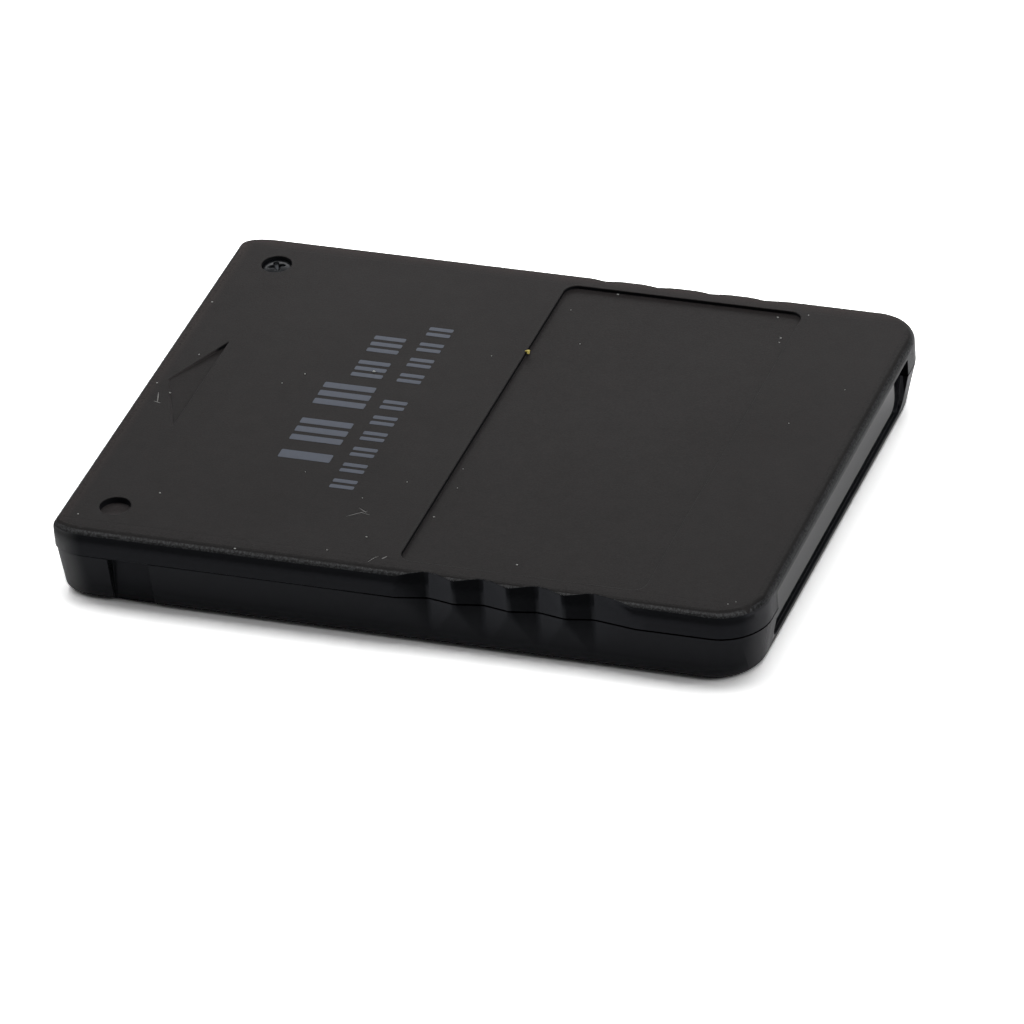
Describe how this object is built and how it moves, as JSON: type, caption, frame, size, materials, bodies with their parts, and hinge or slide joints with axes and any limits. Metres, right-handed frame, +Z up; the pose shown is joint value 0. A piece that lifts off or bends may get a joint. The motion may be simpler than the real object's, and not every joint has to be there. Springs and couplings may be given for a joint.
{
  "type": "console memory card",
  "caption": "Flat black plug-in memory card for a games console, with a label recess, wavy side grips and a connector mouth.",
  "frame": {"origin": "centre of the outer box on the face that the card lies on", "axes": "+X along the card from the connector end to the grip end, +Y across it, +Z up towards the label recess"},
  "size_m": [0.055, 0.042, 0.0064],
  "materials": {
    "case_black": "fine moulded texture, glossier on the window wall",
    "screw_black": "black zinc",
    "board_green": "solder mask",
    "contact_gold": "gold plated",
    "chip_black": "moulded epoxy",
    "tinned_leads": "tin plated",
    "ceramic": "fired ceramic",
    "crystal_metal": "nickel plated",
    "tantalum_yellow": "moulded resin",
    "capacitor_tan": "ceramic with tinned ends",
    "resistor_black": "glazed, with tinned ends"
  },
  "bodies": {
    "root": {"top_cover": "case_black", "bottom_housing": "case_black", "housing_screw": "screw_black", "circuit_board": "board_green", "contact_strip_1": "contact_gold", "contact_strip_2": "contact_gold", "contact_strip_3": "contact_gold", "contact_strip_4": "contact_gold", "contact_strip_5": "contact_gold", "contact_strip_6": "contact_gold", "contact_strip_7": "contact_gold", "contact_strip_8": "contact_gold", "memory_chip": "chip_black", "memory_chip_leads": "tinned_leads", "controller_chip": "chip_black", "controller_chip_leads": "tinned_leads", "crystal_base": "ceramic", "crystal_lid": "crystal_metal", "regulator": "chip_black", "regulator_leads": "tinned_leads", "tantalum_capacitor": "tantalum_yellow", "chip_capacitor_1": "capacitor_tan", "chip_capacitor_2": "capacitor_tan", "chip_capacitor_3": "capacitor_tan", "chip_capacitor_4": "capacitor_tan", "chip_capacitor_5": "capacitor_tan", "chip_capacitor_6": "capacitor_tan", "chip_resistor_1": "resistor_black", "chip_resistor_2": "resistor_black", "chip_resistor_3": "resistor_black", "chip_resistor_4": "resistor_black", "chip_resistor_5": "resistor_black"}
  },
  "joints": []
}
